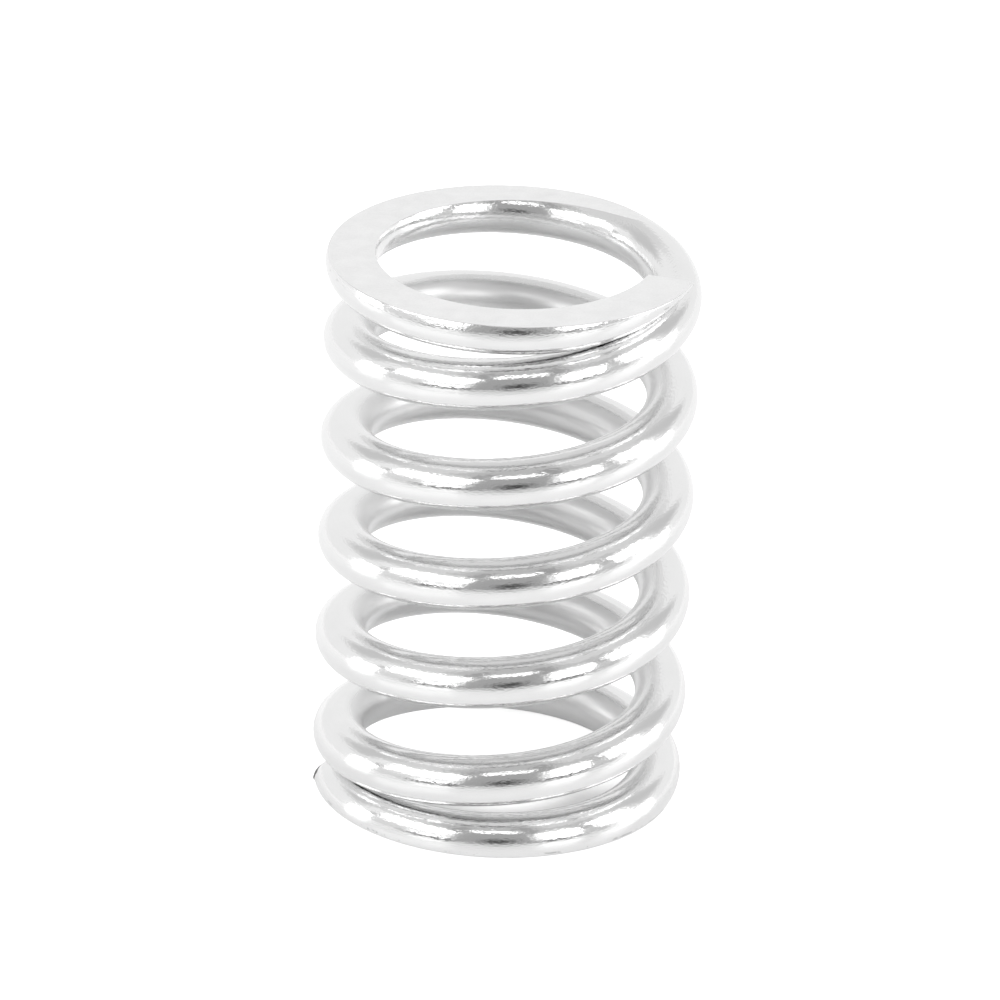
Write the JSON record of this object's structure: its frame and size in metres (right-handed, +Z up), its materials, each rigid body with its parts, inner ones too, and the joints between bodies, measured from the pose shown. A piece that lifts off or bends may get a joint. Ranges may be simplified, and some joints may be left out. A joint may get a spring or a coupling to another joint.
{
  "type": "muffler spring",
  "caption": "Helical compression spring of bright round wire with closed, flat-ground ends, which loads a bolted exhaust joint.",
  "frame": {"origin": "centre of the bottom ground face, on the axis of the coils", "axes": "+Z up along the axis of the coils, from the bottom ground face to the top one; the bottom tip lies towards -X and the top tip towards +X, a little to the front (-Y)"},
  "size_m": [0.0292, 0.0292, 0.045],
  "materials": {
    "zinc_plated_wire": "bright zinc plate on drawn spring wire, with matt ground end faces"
  },
  "bodies": {
    "root": {"spring": "zinc_plated_wire"}
  },
  "joints": []
}
